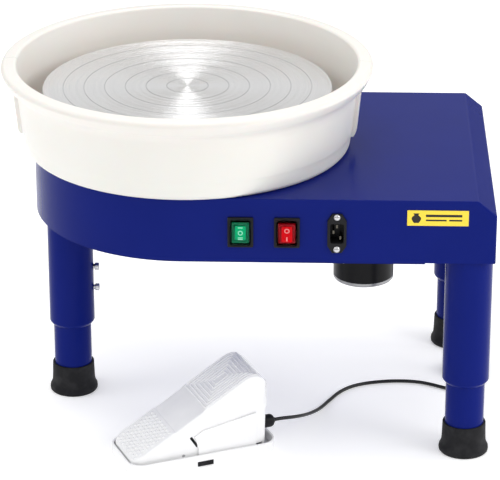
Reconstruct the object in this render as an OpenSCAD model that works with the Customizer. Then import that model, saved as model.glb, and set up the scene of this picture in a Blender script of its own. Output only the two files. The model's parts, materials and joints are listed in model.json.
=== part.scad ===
// A potter's wheel: a sheet-metal body on three telescoping legs, a wheel head turned by a belt,
// a splash basin in two halves, and a foot pedal on a cord.
// The origin is on the floor, under the middle of the whole object's outline. X runs along the body,
// from the wheel's end to the square end, Y runs to its back and Z is up.

/* [Body] */
// Height of the body's underside above the floor
under_clear = 256; // [250:1:262]
// Height of the body's sheet-metal walls
body_h = 78; // [76:1:90]
// Half of the body's depth, and the radius of its round end
body_r = 186; // [184:1:190]
// Distance from the wheel's axis to the fold at the right end of the top
fold_x = 345; // [342:1:350]
// How far the sloped edge reaches out past the fold
slope_run = 22; // [10:1:26]
// How far the sloped edge drops
slope_drop = 18; // [8:1:24]
// Thickness of the sheet metal
sheet = 2; // [1.5:0.1:2.5]

/* [Wheel] */
// Diameter of the wheel head
head_d = 350; // [300:5:356]
// Thickness of the wheel head
head_t = 10; // [8:1:12]
// Height of the wheel head's top above the body's top
head_rise = 72; // [70:1:80]
// Distance between the rings turned into the wheel head
ring_pitch = 25; // [15:1:40]
// Pitch diameter of the belt on the driven pulley
driven_d = 171; // [140:1:180]
// Pitch diameter of the belt on the motor pulley
driver_d = 38; // [30:1:50]

/* [Basin] */
// Outer diameter of the basin's rim
rim_d = 448; // [440:1:460]
// Height of the basin
basin_h = 106; // [100:1:120]
// Thickness of the basin's wall
basin_t = 3; // [2.5:0.1:4]

/* [Legs] */
// Outer diameter of a leg's fixed tube
leg_od = 56; // [54:1:56]
// Outer diameter of a leg's sliding tube
slide_od = 46.6; // [45:0.1:47]
// Height of the fixed tube's lower end above the floor
leg_end_z = 92; // [88:1:100]
// Distance from the wheel's axis to the left leg
left_leg_x = 147; // [135:1:150]
// Distance from the wheel's axis to the right legs
right_leg_x = 338; // [334:1:338]

/* [Pedal] */
// Length of the pedal's base
pedal_l = 189; // [185:1:195]
// Width of the pedal's base
pedal_w = 88; // [86:1:94]
// Height of the pedal's base
pedal_base_h = 14; // [14:0.5:15]
// Turn of the pedal on the floor, in degrees
pedal_turn = 24; // [20:1:28]
// Diameter of the pedal's cord
cord_d = 4.5; // [4.5:0.1:4.6]

/* [Hidden] */
// Sub-parts are drawn about the wheel's axis, and this is the whole object's middle from there
frame_origin = [71.95, -9.3, 0];

$fn = 64;

// Small clearances: a running fit, and a joint that only slides over
run_gap = 0.05;
loose_gap = 0.4;

// Heights that follow from the driving sizes
top_z = under_clear + body_h;
head_z = top_z + head_rise;
right_x = fold_x + slope_run;
body_y = body_r;
blue = [0.13, 0.16, 0.55];
cream = [0.94, 0.93, 0.89];
black = [0.1, 0.1, 0.11];
steel = [0.78, 0.79, 0.8];
alloy = [0.84, 0.85, 0.87];
white = [0.95, 0.95, 0.96];

// Points on an arc about (cx, cy), from angle a0 to a1
function arc(cx, cy, r, a0, a1, n = 8) =
    [for (i = [0:n]) [cx + r * cos(a0 + (a1 - a0) * i / n), cy + r * sin(a0 + (a1 - a0) * i / n)]];

// A rectangle from x0 to x1, half width hw, with corners of radius r0 at x0 and r1 at x1
function round_rect(x0, x1, hw, r0, r1, n = 6) = concat(
    arc(x1 - r1, hw - r1, r1, 0, 90, n), arc(x0 + r0, hw - r0, r0, 90, 180, n),
    arc(x0 + r0, r0 - hw, r0, 180, 270, n), arc(x1 - r1, r1 - hw, r1, 270, 360, n));

module tube_z(r_out, r_in, z0, z1) {
    translate([0, 0, z0]) difference() {
        cylinder(r = r_out, h = z1 - z0);
        translate([0, 0, -1]) cylinder(r = r_in, h = z1 - z0 + 2);
    }
}

module rod_z(r, z0, z1) {
    translate([0, 0, z0]) cylinder(r = r, h = z1 - z0);
}

module placed() {
    translate(-frame_origin) children();
}

// A box given by its lowest and highest corners
module block(lo, hi) {
    translate(lo) cube(hi - lo);
}

// ---------------------------------------------------------------- body
flange_w = 14;
flange_end_x = 286;
plate_t = 2;
plate_z = under_clear - plate_t;
plate_inset = 1.5;
bridge_t = 3;
housing_spigot_r = 31;
switch_z = under_clear + 37;
green_x = 70;
red_x = 124;
inlet_x = 182;
inlet_pitch = 40;
switch_cut = [22.4, 30.4];
inlet_cut = [20.2, 28.2];
label_x = 298.5;
label_z = top_z - 21;

// Half round and half square plan, set in from the outer wall
module body_plan(inset, end_x) {
    difference() {
        circle(r = body_r - inset, $fn = 128);
        translate([0, -body_r - 1]) square([body_r + 1, 2 * body_r + 2]);
    }
    translate([0, inset - body_y]) square([end_x, 2 * (body_y - inset)]);
}

// Plan raised from z0, cut by the side outline with its sloped right edge set in by the same amount
module body_block(inset, z0) {
    slope = sqrt(slope_run * slope_run + slope_drop * slope_drop);
    z1 = top_z - inset;
    x1 = right_x - inset;
    top_x = fold_x + inset * (slope_run - slope) / slope_drop;
    side_z = top_z - slope_drop + inset * (slope_drop - slope) / slope_run;
    intersection() {
        translate([0, 0, z0]) linear_extrude(z1 - z0) body_plan(inset, x1);
        rotate([90, 0, 0]) linear_extrude(3 * body_r, center = true)
            polygon([[-body_r - 5, z0 - 5], [x1, z0 - 5], [x1, side_z], [top_x, z1], [-body_r - 5, z1]]);
    }
}

module front_hole(x, z, size) {
    block([x - size[0] / 2, -body_y - 5, z - size[1] / 2], [x + size[0] / 2, -body_y + 8, z + size[1] / 2]);
}

module front_drill(x, z, r, depth = 12) {
    translate([x, -body_y - 4, z]) rotate([-90, 0, 0]) cylinder(r = r, h = depth);
}

module body_shell() {
    color(blue) difference() {
        body_block(0, under_clear);
        body_block(sheet, under_clear + sheet);
        translate([0, 0, under_clear - 1]) linear_extrude(sheet + 2) body_plan(flange_w, flange_end_x);
        block([flange_end_x - 1, sheet - body_y, under_clear - 1],
              [right_x - sheet, body_y - sheet, under_clear + sheet + 1]);
        rod_z(housing_spigot_r + 0.2, top_z - 5, top_z + 5);
        for (p = housing_screw_places) translate([p[0], p[1], 0]) rod_z(screw_hole_r, top_z - 5, top_z + 5);
        for (p = plate_screw_places) translate([p[0], p[1], 0])
            rod_z(plate_screw_r + 0.1, under_clear - 1, under_clear + 5);
        front_hole(green_x, switch_z, switch_cut);
        front_hole(red_x, switch_z, switch_cut);
        front_hole(inlet_x, switch_z, inlet_cut);
        for (s = [-1, 1]) front_drill(inlet_x, switch_z + s * inlet_pitch / 2, 1.6);
    }
}

module base_plate() {
    color(blue) difference() {
        translate([0, 0, plate_z]) linear_extrude(plate_t) body_plan(plate_inset, flange_end_x - 1);
        for (p = plate_screw_places) translate([p[0], p[1], 0])
            rod_z(plate_screw_r + 0.1, plate_z - 1, under_clear + 1);
        for (p = leg_screw_places(-left_leg_x, 0)) translate([p[0], p[1], 0])
            rod_z(screw_hole_r, plate_z - 1, under_clear + 1);
        translate([motor_x, 0, 0]) {
            rod_z(motor_boss_r + 0.5, plate_z - 1, under_clear + 1);
            for (p = motor_screw_places) translate([p[0], p[1], 0])
                rod_z(screw_hole_r, plate_z - 1, under_clear + 1);
        }
    }
}

module leg_bridge() {
    color(blue) difference() {
        block([flange_end_x, sheet - body_y, under_clear],
              [right_x - sheet, body_y - sheet, under_clear + bridge_t]);
        for (s = [-1, 1], p = leg_screw_places(right_leg_x, s * right_leg_y))
            translate([p[0], p[1], 0]) rod_z(screw_hole_r, under_clear - 1, under_clear + 5);
        translate([gland_x, gland_y, 0]) rod_z(body_gland_r + 0.1, under_clear - 1, under_clear + 5);
    }
}

module name_plate() {
    color([0.98, 0.88, 0.3])
        block([label_x - 35.5, -body_y - 0.8, label_z - 9.5], [label_x + 35.5, -body_y, label_z + 9.5]);
}

// One size of button-head screw holds the housing, the legs and the motor
screw_r = 3;
plate_screw_r = 2;
screw_hole_r = 3.1;
screw_head_r = 5;
screw_head_h = 3.3;
screw_l = 10;
housing_screw_places = [for (a = [45:90:315]) 36.5 * [cos(a), sin(a)]];
motor_screw_places = [for (a = [45:90:315]) 27 * [cos(a), sin(a)]];
plate_screw_places = concat(
    [for (a = [115, 150, 210, 245]) (body_r - 8) * [cos(a), sin(a)]],
    [for (x = [100, 190, 275], s = [-1, 1]) [x, s * (body_r - 8)]]);
function leg_screw_places(x, y) = [for (a = [90, 210, 330]) [x, y] + 16 * [cos(a), sin(a)]];

module button_screw() {
    rod_z(screw_r, -screw_l, 0.5);
    difference() {
        cylinder(r1 = screw_head_r, r2 = 3.2, h = screw_head_h);
        rod_z(1.8, screw_head_h - 1.6, screw_head_h + 1, $fn = 6);
    }
}

module screws_at(places, z) {
    for (p = places) translate([p[0], p[1], z]) button_screw();
}

// Low-headed screws hold the plate from below
module plate_screw() {
    rod_z(plate_screw_r, -8, 0.5);
    difference() {
        cylinder(r1 = 3.8, r2 = 3, h = 1.6);
        rod_z(1.4, 0.8, 2, $fn = 6);
    }
}

module body_screws() {
    color(steel) {
        screws_at(housing_screw_places, top_z);
        for (p = plate_screw_places) translate([p[0], p[1], plate_z]) rotate([180, 0, 0]) plate_screw();
        screws_at(leg_screw_places(-left_leg_x, 0), under_clear);
        for (s = [-1, 1]) screws_at(leg_screw_places(right_leg_x, s * right_leg_y), under_clear + bridge_t);
        translate([motor_x, 0, 0]) screws_at(motor_screw_places, motor_plate_z);
    }
}

// ---------------------------------------------------------------- spindle and its bearings
shaft_r = 12.5;
bearing_r = 23.5;
bearing_w = 12;
bearing_lift = [top_z - 6, under_clear + 28];
housing_end_z = under_clear + 26;
pulley_z0 = under_clear + 6;
pulley_h = 18;
belt_w = 12;
belt_t = 3;

module bearing_housing() {
    color([0.35, 0.36, 0.38]) difference() {
        union() {
            rod_z(housing_spigot_r, housing_end_z, top_z + 8);
            rod_z(44, top_z - sheet - 8, top_z - sheet);
        }
        rod_z(20, housing_end_z - 1, top_z + 9);
        rod_z(bearing_r, bearing_lift[0], top_z + 9);
        rod_z(bearing_r, housing_end_z - 1, bearing_lift[1] + bearing_w);
        for (p = housing_screw_places) translate([p[0], p[1], 0])
            rod_z(screw_hole_r, top_z - sheet - 9, top_z);
    }
}

ball_ring_r = 18;

module bearing_outer_rings() {
    color(steel) for (z = bearing_lift) {
        tube_z(bearing_r, 20.6, z, z + bearing_w);
        for (a = [0:45:315]) rotate([0, 0, a]) translate([ball_ring_r, 0, z + bearing_w / 2])
            sphere(r = 2.5, $fn = 24);
    }
}

// The bearings' inner rings are pressed on the spindle, and a circlip keeps the pulley on its end
module spindle() {
    color(steel) {
        difference() {
            union() {
                rod_z(shaft_r, under_clear + 2, head_z - head_t - 10);
                rod_z(15, bearing_lift[1] + bearing_w, bearing_lift[0]);
                for (z = bearing_lift) rod_z(15.4, z, z + bearing_w);
            }
            tube_z(shaft_r + 2, 11.6, under_clear + 3.5, under_clear + 4.8);
        }
        difference() {
            tube_z(16, 11.65, under_clear + 3.6, under_clear + 4.7);
            block([8, -3, under_clear + 2], [20, 3, under_clear + 6]);
        }
    }
}

module driven_pulley() {
    rim_r = driven_d / 2 - belt_t / 2;
    color(alloy) difference() {
        union() {
            tube_z(rim_r, rim_r - 8, pulley_z0, pulley_z0 + pulley_h);
            for (z = [pulley_z0, pulley_z0 + pulley_h - 2]) tube_z(rim_r + 5, rim_r - 8, z, z + 2);
            rod_z(24, pulley_z0, pulley_z0 + pulley_h);
            rod_z(rim_r - 7, pulley_z0 + 5, pulley_z0 + 10);
        }
        rod_z(shaft_r + 0.01, pulley_z0 - 1, pulley_z0 + pulley_h + 1);
        for (a = [0:60:300]) rotate([0, 0, a]) translate([50, 0, 0])
            rod_z(17, pulley_z0 - 1, pulley_z0 + pulley_h + 1);
    }
}

// Outline of a belt round both pulleys, at distance extra outside the pulleys' faces
function belt_line(extra) =
    let (ra = driven_d / 2 - belt_t / 2 + extra, rb = driver_d / 2 - belt_t / 2 + extra,
         lean = acos((ra - rb) / motor_x))
    concat(arc(motor_x, 0, rb, -lean, lean, 24), arc(0, 0, ra, lean, 360 - lean, 72));

module drive_belt() {
    z0 = pulley_z0 + (pulley_h - belt_w) / 2;
    color(black) translate([0, 0, z0]) difference() {
        linear_extrude(belt_w) polygon(belt_line(belt_t));
        translate([0, 0, -1]) linear_extrude(belt_w + 2) polygon(belt_line(0.15));
    }
}

// ---------------------------------------------------------------- motor
motor_x = 216;
motor_r = 37.2;
motor_end_z = 157;
motor_ring_h = 6;
motor_boss_r = 14;
motor_shaft_r = 5;
motor_plate_z = under_clear + 3;

module motor_can() {
    color(black) translate([motor_x, 0, 0]) difference() {
        union() {
            rod_z(motor_r, motor_end_z + motor_ring_h, plate_z);
            rod_z(motor_boss_r, plate_z - 1, under_clear + 2);
        }
        rod_z(motor_shaft_r + run_gap, plate_z - 40, under_clear + 3);
        for (p = motor_screw_places) translate([p[0], p[1], 0]) rod_z(screw_hole_r, plate_z - 9, plate_z + 1);
    }
}

module motor_end_ring() {
    color(steel) translate([motor_x, 0, 0]) rotate_extrude()
        polygon([[0, motor_end_z], [motor_r - 4, motor_end_z], [motor_r - 1, motor_end_z + 1.5],
                 [motor_r, motor_end_z + 3], [motor_r, motor_end_z + motor_ring_h], [0, motor_end_z + motor_ring_h]]);
}

module motor_plate() {
    color(steel) difference() {
        translate([motor_x, 0, under_clear]) linear_extrude(motor_plate_z - under_clear)
            polygon(round_rect(-42, 42, 42, 8, 8));
        translate([motor_x, 0, 0]) {
            rod_z(motor_boss_r + 0.5, under_clear - 1, motor_plate_z + 1);
            for (p = motor_screw_places) translate([p[0], p[1], 0])
                rod_z(screw_hole_r, under_clear - 1, motor_plate_z + 1);
        }
    }
}

module motor_shaft() {
    color(steel) translate([motor_x, 0, 0]) rod_z(motor_shaft_r, plate_z - 38, pulley_z0 + pulley_h);
}

module motor_pulley() {
    r = driver_d / 2 - belt_t / 2;
    color(alloy) translate([motor_x, 0, 0]) difference() {
        union() {
            rod_z(r, pulley_z0, pulley_z0 + pulley_h);
            for (z = [pulley_z0, pulley_z0 + pulley_h - 2]) rod_z(r + 4, z, z + 2);
        }
        rod_z(motor_shaft_r + 0.01, pulley_z0 - 1, pulley_z0 + pulley_h + 1);
    }
}

// ---------------------------------------------------------------- wheel head
hub_r = 38;
hub_screw_places = [for (a = [0:90:270]) 29 * [cos(a), sin(a)]];
head_under_z = head_z - head_t;

module wheel_hub() {
    color(alloy) difference() {
        union() {
            rod_z(hub_r, head_under_z - 6, head_under_z);
            rod_z(20, head_under_z - 34, head_under_z - 6);
        }
        rod_z(shaft_r + 0.01, head_under_z - 35, head_under_z - 9.9);
        for (p = hub_screw_places) translate([p[0], p[1], 0]) rod_z(2.6, head_under_z - 7, head_under_z + 1);
    }
}

module hub_screws() {
    color(steel) for (p = hub_screw_places) translate([p[0], p[1], 0]) {
        rod_z(2.5, head_under_z - 6, head_under_z + 4);
        rod_z(4.2, head_under_z - 10, head_under_z - 6);
    }
}

module wheel_head() {
    r = head_d / 2;
    color(alloy) difference() {
        rotate_extrude($fn = 128) polygon([
            [0, head_under_z], [r - 1.5, head_under_z], [r, head_under_z + 1.5],
            [r, head_z - 1], [r - 1, head_z], [0, head_z]]);
        for (k = [1:6]) tube_z(k * ring_pitch + 0.4, k * ring_pitch - 0.4, head_z - 0.5, head_z + 1);
        for (p = hub_screw_places) translate([p[0], p[1], 0]) rod_z(2.6, head_under_z - 1, head_under_z + 5);
    }
}

// ---------------------------------------------------------------- splash basin
seam_gap = 0.5;
collar_r = 44;
collar_h = 44;
foot_r = 189.5;
foot_round = 8;
step_z = top_z + 23;
wall_r = [foot_r + foot_round, 200.4, 206];
rim_z = top_z + basin_h;

floor_r = 188;

// Outline of the basin's wall, from the edge of its floor to the rim, as radius and height
function wall_outline() = concat(
    [[floor_r, top_z]],
    arc(foot_r, top_z + foot_round, foot_round, -90, 0, 6),
    [[wall_r[1] - 1, step_z - 1], [wall_r[1] + 0.4, step_z + 1], [wall_r[2] - 0.6, top_z + 68]],
    arc(rim_d / 2 + 2, top_z + 70, rim_d / 2 + 2 - wall_r[2], 180, 112, 5),
    arc(rim_d / 2 - 5, rim_z - 6, 5, -20, 90, 6),
    arc(rim_d / 2 - 15, rim_z - 4, 4, 90, 165, 4),
    [[wall_r[2] - basin_t, top_z + 72], [wall_r[1] + 0.4 - basin_t, step_z + 1],
     [wall_r[1] - 1 - basin_t, step_z - 1]],
    arc(foot_r, top_z + foot_round, foot_round - basin_t, 0, -90, 5),
    [[floor_r, top_z + basin_t]]);

// Outline of its floor and the collar that keeps water off the spindle
function floor_outline() = [
    [collar_r, top_z], [floor_r, top_z], [floor_r, top_z + basin_t], [collar_r + basin_t, top_z + basin_t],
    [collar_r + basin_t, top_z + collar_h], [collar_r, top_z + collar_h]];

// The half behind the seam; the front half is the same shape turned round
module half_round(outline) {
    difference() {
        rotate_extrude(angle = 180, $fn = 128) polygon(outline);
        block([-rim_d, -1, top_z - 1], [rim_d, seam_gap / 2, rim_z + 1]);
    }
}

// The floor, with an upstand beside the seam from the collar to the wall
module half_floor() {
    half_round(floor_outline());
    for (s = [-1, 1]) block([min(s * 46.5, s * 187.5), seam_gap / 2, top_z + 1],
                            [max(s * 46.5, s * 187.5), seam_gap / 2 + 3, top_z + 10]);
}

// Strap over the seam: fast to the front half's wall, and lapping past the rear half's
module seam_strap(s) {
    low = step_z;
    high = top_z + 74;
    intersection() {
        difference() {
            rotate_extrude($fn = 128) polygon([
                [wall_r[1] - 1.4, low - 2], [wall_r[1] + 3, low - 2], [wall_r[1] + 5.4, low + 2],
                [wall_r[2] + 4.6, high], [wall_r[2] - 0.8, high]]);
            rotate_extrude($fn = 128) polygon([
                [0, low - 5], [wall_r[1] - 1.2, low - 5], [wall_r[1] + 0.2, step_z + 1],
                [wall_r[2] - 0.8, top_z + 68], [wall_r[2] - 0.8, high + 5], [0, high + 5]]);
            // room for the rear half, which slides past behind the strap
            translate([0, 0, low - 10]) intersection() {
                cylinder(r1 = wall_r[1] + 0.6, r2 = wall_r[2] + 2.3, h = high - low + 20, $fn = 128);
                block([-rim_d, seam_gap / 2 - 0.2, 0], [rim_d, 60, 100]);
            }
        }
        block([s > 0 ? 150 : -260, -34, low - 5], [s > 0 ? 260 : -150, 14, high + 5]);
    }
}

module basin_front() {
    color(cream) {
        rotate([0, 0, 180]) half_round(wall_outline());
        for (s = [-1, 1]) seam_strap(s);
    }
}

module basin_rear() {
    color(cream) half_round(wall_outline());
}

module basin_front_floor() {
    color(cream) rotate([0, 0, 180]) half_floor();
}

module basin_rear_floor() {
    color(cream) half_floor();
}

// ---------------------------------------------------------------- controls
module control_box() {
    color([0.2, 0.21, 0.22]) {
        block([140, 75, under_clear], [250, 150, under_clear + 44]);
        for (y = [82:9:143]) block([145, y, under_clear + 44], [245, y + 3, under_clear + 58]);
    }
}

terminal_y = -body_y + 31;

// Flat terminals at the back of a switch or an inlet
module terminals(x, y0) {
    color(steel) for (z = [-9, 0, 9])
        block([x - 2, y0, switch_z + z - 0.4], [x + 2, terminal_y, switch_z + z + 0.4]);
}

// A straight lead between two points that share two of their coordinates
module lead(a, b, r = 3) {
    lo = [for (i = [0:2]) min(a[i], b[i]) - r];
    hi = [for (i = [0:2]) max(a[i], b[i]) + r];
    block(lo, hi);
}

module wiring_loom() {
    loom_y = -150;
    loom_z = under_clear + 60;
    run = [[green_x, loom_y, loom_z], [262, loom_y, loom_z], [262, 110, loom_z], [262, 110, under_clear + 20],
           [253, 110, under_clear + 20]];
    color([0.7, 0.1, 0.1]) {
        for (i = [0:3]) lead(run[i], run[i + 1]);
        for (x = [green_x, red_x, inlet_x]) {
            lead([x, loom_y, loom_z], [x, loom_y, switch_z]);
            lead([x, loom_y, switch_z], [x, 3 + terminal_y, switch_z]);
        }
    }
}

bezel = [30, 37];
bezel_t = 2.6;
rocker = [20, 26.4];
rocker_mouth = [20.6, 28.4];
rocker_pin_r = 1.5;
rocker_axis_y = -body_y + 4;
cap_outer = [24.6, 30.6];
cap_rise = 7;

// A block on the front panel: x and z about its middle, y counted outwards from the panel's face
module panel_block(x, size, y_in, y_out, corner = 0) {
    translate([x, 0, switch_z]) rotate([90, 0, 0]) translate([0, 0, body_y - y_in])
        linear_extrude(y_in + y_out)
            polygon(round_rect(-size[0] / 2, size[0] / 2, size[1] / 2, corner + 0.01, corner + 0.01, 4));
}

module switch_body(x) {
    color(black) difference() {
        union() {
            panel_block(x, bezel, 0, bezel_t, 1.5);
            panel_block(x, switch_cut - [0.2, 0.2], 28, 0.5);
        }
        panel_block(x, rocker_mouth, 14, bezel_t + 1, 1);
        translate([x, rocker_axis_y, switch_z]) rotate([0, 90, 0])
            cylinder(r = rocker_pin_r + run_gap, h = rocker[0] + 1.3, center = true);
    }
    terminals(x, -body_y + 28);
}

// The rocker turns about an axis along X; its crown is a shallow V with a raised middle panel
module switch_rocker(x, colour, tilt) {
    color(colour) translate([x, rocker_axis_y, switch_z]) rotate([tilt, 0, 0]) {
        rotate([90, 0, 90]) linear_extrude(rocker[0], center = true) polygon([
            [-7.2, 0.3 - rocker[1] / 2], [-6.2, 0], [-7.2, rocker[1] / 2 - 0.3],
            [-2, rocker[1] / 2 - 0.8], [6, 3], [6, -3], [-2, 0.8 - rocker[1] / 2]]);
        block([-7, -7.6, -8.9], [7, -6, 8.9]);
        rotate([0, 90, 0]) cylinder(r = rocker_pin_r, h = rocker[0] + 1, center = true);
    }
}

module switch_cap(x) {
    color([0.85, 0.9, 0.9, 0.4]) difference() {
        panel_block(x, cap_outer, -bezel_t, cap_rise, 4);
        panel_block(x, cap_outer - [2, 2], -bezel_t + 1, cap_rise - 1, 3);
    }
}

red_tilt = 8;

module green_switch_body() { switch_body(green_x); }
module green_rocker() { switch_rocker(green_x, [0, 0.6, 0.4], 0); }
module green_switch_cap() { switch_cap(green_x); }
module red_switch_body() { switch_body(red_x); }
module red_rocker() { switch_rocker(red_x, [0.8, 0.05, 0.1], red_tilt); }
module red_switch_cap() { switch_cap(red_x); }

inlet_size = [22.3, 48.7];
inlet_mouth = [15.6, 24.4];
inlet_t = 3;

module inlet_body() {
    color(black) difference() {
        union() {
            translate([inlet_x, 0, switch_z]) rotate([90, 0, 0]) translate([0, 0, body_y])
                linear_extrude(inlet_t) polygon([
                    for (q = [[1, 1], [1, -1], [-1, -1], [-1, 1]], p = q[0] * q[1] > 0 ? [0, 1] : [1, 0])
                        [q[0] * inlet_size[0] / 2 * (p == 0 ? 0.5 : 1), q[1] * (inlet_size[1] / 2 - (p == 0 ? 0 : 8.8))]]);
            panel_block(inlet_x, inlet_cut - [0.2, 0.2], 26, 0.5, 2);
        }
        panel_block(inlet_x, inlet_mouth, 15, inlet_t + 1, 2.5);
        for (s = [-1, 1]) front_drill(inlet_x, switch_z + s * inlet_pitch / 2, 1.7);
    }
    terminals(inlet_x, -body_y + 26);
}

module inlet_pins() {
    color([0.85, 0.75, 0.45]) for (p = [[0, 7], [-4, 0], [4, -7], [0, 0]])
        if (p != [0, 0]) block([inlet_x + p[0] - 1, -body_y + 2, switch_z + p[1] - 2],
                               [inlet_x + p[0] + 1, -body_y + 15, switch_z + p[1] + 2]);
}

module inlet_screws() {
    color(steel) for (s = [-1, 1]) translate([inlet_x, -body_y - inlet_t, switch_z + s * inlet_pitch / 2])
        rotate([90, 0, 0]) {
            rod_z(1.5, -10, 0.2);
            rotate_extrude() polygon(concat([[0, 0], [3.9, 0]], arc(0, -2.6, 4.7, 34, 90, 5)));
        }
}

// ---------------------------------------------------------------- legs
right_leg_y = body_y - sheet - 28.5;
leg_r = leg_od / 2;
slide_r = slide_od / 2;
leg_bore = leg_r - 2.5;
leg_cap_t = 9;
slide_top_z = 215;
foot_h = 38;
foot_sole_z = 6;
screw_heights = [167, 139];

module leg_tube(x, y, cap_z, turn) {
    color(blue) translate([x, y, 0]) difference() {
        rotate_extrude() polygon([
            [slide_r + 0.08, leg_end_z], [leg_r - 3, leg_end_z], [leg_r, leg_end_z + 4], [leg_r, cap_z],
            [0, cap_z], [0, cap_z - leg_cap_t], [leg_bore, cap_z - leg_cap_t], [leg_bore, leg_end_z + 30],
            [slide_r + 0.08, leg_end_z + 24]]);
        for (p = leg_screw_places(0, 0)) translate([p[0], p[1], 0]) rod_z(screw_hole_r, cap_z - leg_cap_t - 1, cap_z + 1);
        for (z = screw_heights) rotate([0, 0, turn]) translate([0, 0, z]) rotate([0, 90, 0])
            rod_z(3.05, leg_bore - 3, leg_r + 2);
    }
}

module leg_slide(x, y) {
    color(blue) translate([x, y, 0]) difference() {
        rod_z(slide_r, foot_sole_z, slide_top_z);
        rod_z(slide_r - 2, foot_sole_z - 1, slide_top_z + 1);
    }
}

module rubber_foot(x, y) {
    color([0.2, 0.2, 0.21]) translate([x, y, 0]) rotate_extrude() polygon([
        [0, 0], [28.6, 0], [29.6, 1.2], [29.9, 3.5], [29.6, 6], [28, 9], [26.9, 12.5], [26.5, 17],
        [25.9, foot_h - 1], [25.4, foot_h], [slide_r + 0.02, foot_h], [slide_r + 0.02, foot_sole_z], [0, foot_sole_z]]);
}

module clamp_screw(x, y, z, turn) {
    color(steel) translate([x, y, z]) rotate([0, 0, turn]) rotate([0, 90, 0]) {
        rod_z(3, slide_r + 0.15, leg_r + 2.5);
        difference() {
            rod_z(4.6, leg_r + 1.8, leg_r + 7);
            rod_z(2.6, leg_r + 4, leg_r + 8, $fn = 6);
        }
    }
}

module left_leg_tube() { leg_tube(-left_leg_x, 0, plate_z, 0); }
module right_front_leg_tube() { leg_tube(right_leg_x, -right_leg_y, under_clear, 90); }
module right_rear_leg_tube() { leg_tube(right_leg_x, right_leg_y, under_clear, -90); }
module left_leg_slide() { leg_slide(-left_leg_x, 0); }
module right_front_leg_slide() { leg_slide(right_leg_x, -right_leg_y); }
module right_rear_leg_slide() { leg_slide(right_leg_x, right_leg_y); }
module left_foot() { rubber_foot(-left_leg_x, 0); }
module right_front_foot() { rubber_foot(right_leg_x, -right_leg_y); }
module right_rear_foot() { rubber_foot(right_leg_x, right_leg_y); }
module left_upper_screw() { clamp_screw(-left_leg_x, 0, screw_heights[0], 0); }
module left_lower_screw() { clamp_screw(-left_leg_x, 0, screw_heights[1], 0); }
module right_front_upper_screw() { clamp_screw(right_leg_x, -right_leg_y, screw_heights[0], 90); }
module right_front_lower_screw() { clamp_screw(right_leg_x, -right_leg_y, screw_heights[1], 90); }
module right_rear_upper_screw() { clamp_screw(right_leg_x, right_leg_y, screw_heights[0], -90); }
module right_rear_lower_screw() { clamp_screw(right_leg_x, right_leg_y, screw_heights[1], -90); }

// ---------------------------------------------------------------- foot pedal
// The pedal's own frame: x from heel to toe, y to the far side, z up, about the middle of its base
pedal_at = [12.1, -168.5, 0];
hl = pedal_l / 2;
hw = pedal_w / 2;
floor_t = 1.6;
tread_x0 = -90;
tread_x1 = 87.5;
tread_hw = 37;
heel_corner = 13;
toe_corner = 20;
tread_t = 2.5;
heel_z = 16;
rise = 0.585;
pivot = [-26.5, 14];
pin_r = 2;
nose = [24, 32];
nose_turn = atan2(1, -rise * nose[0] / nose[1]);
pad_t = 1.2;
pad_ends = [-36.5, 0];
skirt_toe_z = pedal_base_h + 0.2;
gland_row = [-23, 33];

function tread_z(x) = heel_z + (x - tread_x0) * rise;

module in_pedal() {
    translate(pedal_at) rotate([0, 0, pedal_turn]) children();
}

// Side outline of the treadle, set in from its outer surface
function tread_side(inset) =
    let (x1 = tread_x1 - inset, drop = inset * sqrt(1 + rise * rise),
         r = nose - [inset, inset], start_x = x1 - r[0] + r[0] * cos(nose_turn),
         mid_z = tread_z(start_x) - drop - r[1] * sin(nose_turn))
    concat([[tread_x0 + inset, inset > 0 ? 0 : 12], [tread_x0 + inset, tread_z(tread_x0 + inset) - drop]],
           inset > 0 ? [] : [for (i = [0, 1], k = i == 0 ? [-1, 1] : [-1, 0.2])
               let (x = pad_ends[i] + k) [x, tread_z(x) - ((i == 0) == (k > 0) ? pad_t : 0)]],
           [for (k = [0:8], a = nose_turn * (1 - k / 8)) [x1 - r[0] + r[0] * cos(a), mid_z + r[1] * sin(a)]],
           [[x1, inset > 0 ? 0 : skirt_toe_z], [pivot[0] + 4, inset > 0 ? 0 : 8],
            [pivot[0] - 6, inset > 0 ? 0 : 8]]);

module tread_block(inset) {
    intersection() {
        rotate([90, 0, 0]) linear_extrude(2 * hw, center = true) polygon(tread_side(inset));
        linear_extrude(130) polygon(round_rect(
            tread_x0 + inset, tread_x1 - inset, tread_hw - inset, heel_corner - inset, toe_corner - inset));
    }
}

// Gear teeth of module 1 about the origin; angles are measured to the tooth's middle
gear_teeth = [116, 14];
module gear_tooth(r, a) {
    rotate([0, 0, a]) polygon([[r - 2.2, -0.85], [r - 1.2, -0.8], [r + 0.75, -0.32], [r + 0.75, 0.32],
                               [r - 1.2, 0.8], [r - 2.2, 0.85]]);
}
sector_r = gear_teeth[0] / 2;
pinion_r = gear_teeth[1] / 2;
mesh_angle = 10;
pot_at = pivot + (sector_r + pinion_r) * [cos(mesh_angle), sin(mesh_angle)];
sector_y = 12;
sector_w = 4;
pot_y = 16;

module treadle_sector() {
    pitch = 360 / gear_teeth[0];
    translate([pivot[0], sector_y, pivot[1]]) rotate([90, 0, 0]) linear_extrude(sector_w) {
        for (k = [-2:5]) gear_tooth(sector_r, mesh_angle + k * pitch);
        polygon(concat(arc(0, 0, sector_r - 1.2, mesh_angle - 2.5 * pitch, mesh_angle + 5.5 * pitch, 8),
                       [for (x = [sector_r - 9, sector_r - 24]) [x, tread_z(pivot[0] + x) - pivot[1] - 1]],
                       arc(0, 0, sector_r - 7, mesh_angle + 5.5 * pitch, mesh_angle - 2.5 * pitch, 8)));
    }
}

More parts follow.
